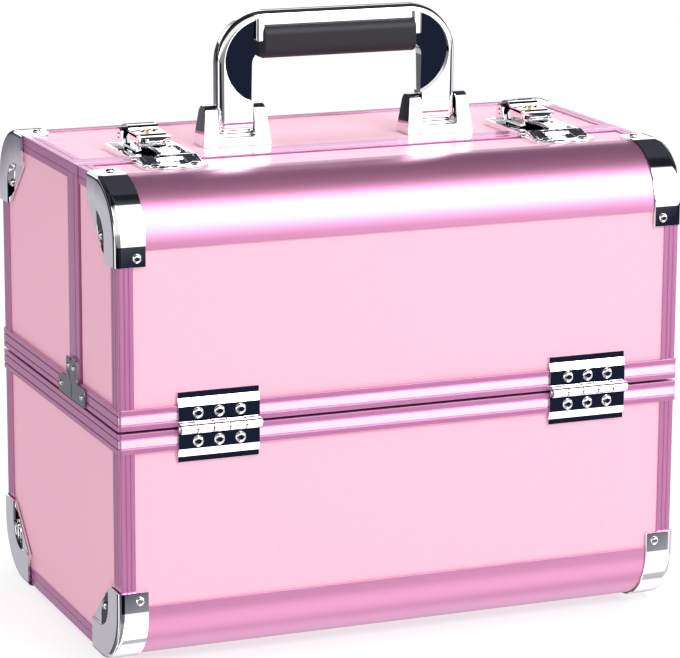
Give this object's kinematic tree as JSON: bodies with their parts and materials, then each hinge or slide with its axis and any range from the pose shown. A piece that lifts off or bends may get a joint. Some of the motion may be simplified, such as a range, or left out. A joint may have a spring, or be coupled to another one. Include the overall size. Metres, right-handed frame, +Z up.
{
  "type": "makeup storage case",
  "caption": "Hard-sided make-up train case whose split lid opens forward and back over cantilever trays, with draw latches and a folding top handle.",
  "frame": {"origin": "centre of the case's footprint, on the surface its feet stand on", "axes": "+X to the right as seen from the front, +Y to the back, +Z up"},
  "size_m": [0.3568, 0.2386, 0.362],
  "materials": {
    "pink_board": "pink laminate leaf on board, semi-gloss",
    "pink_aluminium": "anodised pink, satin",
    "chrome": "bright plated",
    "steel": "brushed",
    "brass": "polished",
    "black_rubber": "satin",
    "tray_plastic": "moulded, fine texture",
    "foam_mat": "closed-cell foam, matt"
  },
  "bodies": {
    "base": {"base_bottom_panel": "pink_board", "base_front_panel": "pink_board", "base_rear_panel": "pink_board", "base_left_panel": "pink_board", "base_right_panel": "pink_board", "base_front_curve": "pink_aluminium", "base_rear_curve": "pink_aluminium", "base_edge_trims": "pink_aluminium", "base_rails": "pink_aluminium", "base_corner_caps": "chrome", "base_rivets": "chrome", "base_hinge_leaves": "chrome", "hinge_pins": "steel", "feet": "black_rubber", "floor_mat": "foam_mat"},
    "front_lid": {"front_lid_front_panel": "pink_board", "front_lid_top_panel": "pink_board", "front_lid_left_panel": "pink_board", "front_lid_right_panel": "pink_board", "front_lid_curve": "pink_aluminium", "front_lid_edge_trims": "pink_aluminium", "front_lid_rails": "pink_aluminium", "front_lid_corner_caps": "chrome", "front_lid_rivets": "chrome", "front_lid_hinge_leaves": "chrome", "latch_catches": "chrome"},
    "rear_lid": {"rear_lid_rear_panel": "pink_board", "rear_lid_top_panel": "pink_board", "rear_lid_left_panel": "pink_board", "rear_lid_right_panel": "pink_board", "rear_lid_curve": "pink_aluminium", "rear_lid_edge_trims": "pink_aluminium", "rear_lid_rails": "pink_aluminium", "rear_lid_seam_frame": "pink_aluminium", "rear_lid_corner_caps": "chrome", "rear_lid_rivets": "chrome", "rear_lid_hinge_leaves": "chrome", "tee_plates": "chrome", "handle_brackets": "chrome", "latch_bases": "chrome"},
    "handle": {"handle_frame": "chrome", "handle_grip": "black_rubber"},
    "left_lever": {"left_latch_lever": "chrome"},
    "left_claw": {"left_latch_claw": "steel"},
    "left_plug": {"left_lock_plug": "brass"},
    "right_lever": {"right_latch_lever": "chrome"},
    "right_claw": {"right_latch_claw": "steel"},
    "right_plug": {"right_lock_plug": "brass"},
    "front_outer_bars": {"front_outer_bars": "steel"},
    "front_inner_bars": {"front_inner_bars": "steel"},
    "front_lower_tray": {"front_lower_tray": "tray_plastic"},
    "front_upper_tray": {"front_upper_tray": "tray_plastic", "front_tray_dividers": "tray_plastic"},
    "front_lid_links": {"front_lid_links": "steel"},
    "rear_outer_bars": {"rear_outer_bars": "steel"},
    "rear_inner_bars": {"rear_inner_bars": "steel"},
    "rear_lower_tray": {"rear_lower_tray": "tray_plastic"},
    "rear_upper_tray": {"rear_upper_tray": "tray_plastic", "rear_tray_dividers": "tray_plastic"},
    "rear_lid_links": {"rear_lid_links": "steel"}
  },
  "joints": [
    {"name": "front_lid_hinge", "type": "hinge", "parent": "base", "child": "front_lid", "pos_m": [0, -0.1163, 0.1435], "axis": [1, 0, 0], "range_deg": [0, 86]},
    {"name": "front_outer_bar_pivot", "type": "hinge", "parent": "base", "child": "front_outer_bars", "pos_m": [0, -0.0955, 0.138], "axis": [1, 0, 0], "range_deg": [0, 70.6]},
    {"name": "front_inner_bar_pivot", "type": "hinge", "parent": "base", "child": "front_inner_bars", "pos_m": [0, -0.0755, 0.138], "axis": [1, 0, 0], "range_deg": [0, 70.6]},
    {"name": "front_lower_tray_pivot", "type": "hinge", "parent": "front_outer_bars", "child": "front_lower_tray", "pos_m": [0, -0.0636, 0.18305], "axis": [1, 0, 0], "range_deg": [-70.6, 0]},
    {"name": "front_upper_tray_pivot", "type": "hinge", "parent": "front_outer_bars", "child": "front_upper_tray", "pos_m": [0, -0.0317, 0.2281], "axis": [1, 0, 0], "range_deg": [-70.6, 0]},
    {"name": "front_link_pivot", "type": "hinge", "parent": "front_lid", "child": "front_lid_links", "pos_m": [0, -0.1017, 0.1595], "axis": [1, 0, 0], "range_deg": [-20.3, 0]},
    {"name": "rear_lid_hinge", "type": "hinge", "parent": "base", "child": "rear_lid", "pos_m": [0, 0.1163, 0.1435], "axis": [-1, 0, 0], "range_deg": [0, 86]},
    {"name": "rear_outer_bar_pivot", "type": "hinge", "parent": "base", "child": "rear_outer_bars", "pos_m": [0, 0.0955, 0.138], "axis": [-1, 0, 0], "range_deg": [0, 70.6]},
    {"name": "rear_inner_bar_pivot", "type": "hinge", "parent": "base", "child": "rear_inner_bars", "pos_m": [0, 0.0755, 0.138], "axis": [-1, 0, 0], "range_deg": [0, 70.6]},
    {"name": "rear_lower_tray_pivot", "type": "hinge", "parent": "rear_outer_bars", "child": "rear_lower_tray", "pos_m": [0, 0.0636, 0.18305], "axis": [-1, 0, 0], "range_deg": [-70.6, 0]},
    {"name": "rear_upper_tray_pivot", "type": "hinge", "parent": "rear_outer_bars", "child": "rear_upper_tray", "pos_m": [0, 0.0317, 0.2281], "axis": [-1, 0, 0], "range_deg": [-70.6, 0]},
    {"name": "rear_link_pivot", "type": "hinge", "parent": "rear_lid", "child": "rear_lid_links", "pos_m": [0, 0.1017, 0.1595], "axis": [-1, 0, 0], "range_deg": [-20.3, 0]},
    {"name": "handle_pivot", "type": "hinge", "parent": "rear_lid", "child": "handle", "pos_m": [0, 0, 0.295], "axis": [1, 0, 0], "range_deg": [-85, 85]},
    {"name": "left_lever_pivot", "type": "hinge", "parent": "rear_lid", "child": "left_lever", "pos_m": [-0.123, 0.005, 0.2916], "axis": [-1, 0, 0], "range_deg": [0, 100]},
    {"name": "left_claw_pivot", "type": "hinge", "parent": "left_lever", "child": "left_claw", "pos_m": [-0.123, -0.025, 0.2904], "axis": [-1, 0, 0], "range_deg": [0, 12]},
    {"name": "left_lock_turn", "type": "hinge", "parent": "left_lever", "child": "left_plug", "pos_m": [-0.123, -0.013, 0.296], "axis": [0, 0, 1], "range_deg": [0, 90]},
    {"name": "right_lever_pivot", "type": "hinge", "parent": "rear_lid", "child": "right_lever", "pos_m": [0.123, 0.005, 0.2916], "axis": [-1, 0, 0], "range_deg": [0, 100]},
    {"name": "right_claw_pivot", "type": "hinge", "parent": "right_lever", "child": "right_claw", "pos_m": [0.123, -0.025, 0.2904], "axis": [-1, 0, 0], "range_deg": [0, 12]},
    {"name": "right_lock_turn", "type": "hinge", "parent": "right_lever", "child": "right_plug", "pos_m": [0.123, -0.013, 0.296], "axis": [0, 0, 1], "range_deg": [0, 90]}
  ],
  "couplings": [
    {"joint": "front_outer_bar_pivot", "follows": "front_lid_hinge", "ratio": 0.8209},
    {"joint": "front_inner_bar_pivot", "follows": "front_lid_hinge", "ratio": 0.8209},
    {"joint": "front_lower_tray_pivot", "follows": "front_lid_hinge", "ratio": -0.8209},
    {"joint": "front_upper_tray_pivot", "follows": "front_lid_hinge", "ratio": -0.8209},
    {"joint": "front_link_pivot", "follows": "front_lid_hinge", "ratio": -0.235},
    {"joint": "rear_outer_bar_pivot", "follows": "rear_lid_hinge", "ratio": 0.8209},
    {"joint": "rear_inner_bar_pivot", "follows": "rear_lid_hinge", "ratio": 0.8209},
    {"joint": "rear_lower_tray_pivot", "follows": "rear_lid_hinge", "ratio": -0.8209},
    {"joint": "rear_upper_tray_pivot", "follows": "rear_lid_hinge", "ratio": -0.8209},
    {"joint": "rear_link_pivot", "follows": "rear_lid_hinge", "ratio": -0.235}
  ]
}
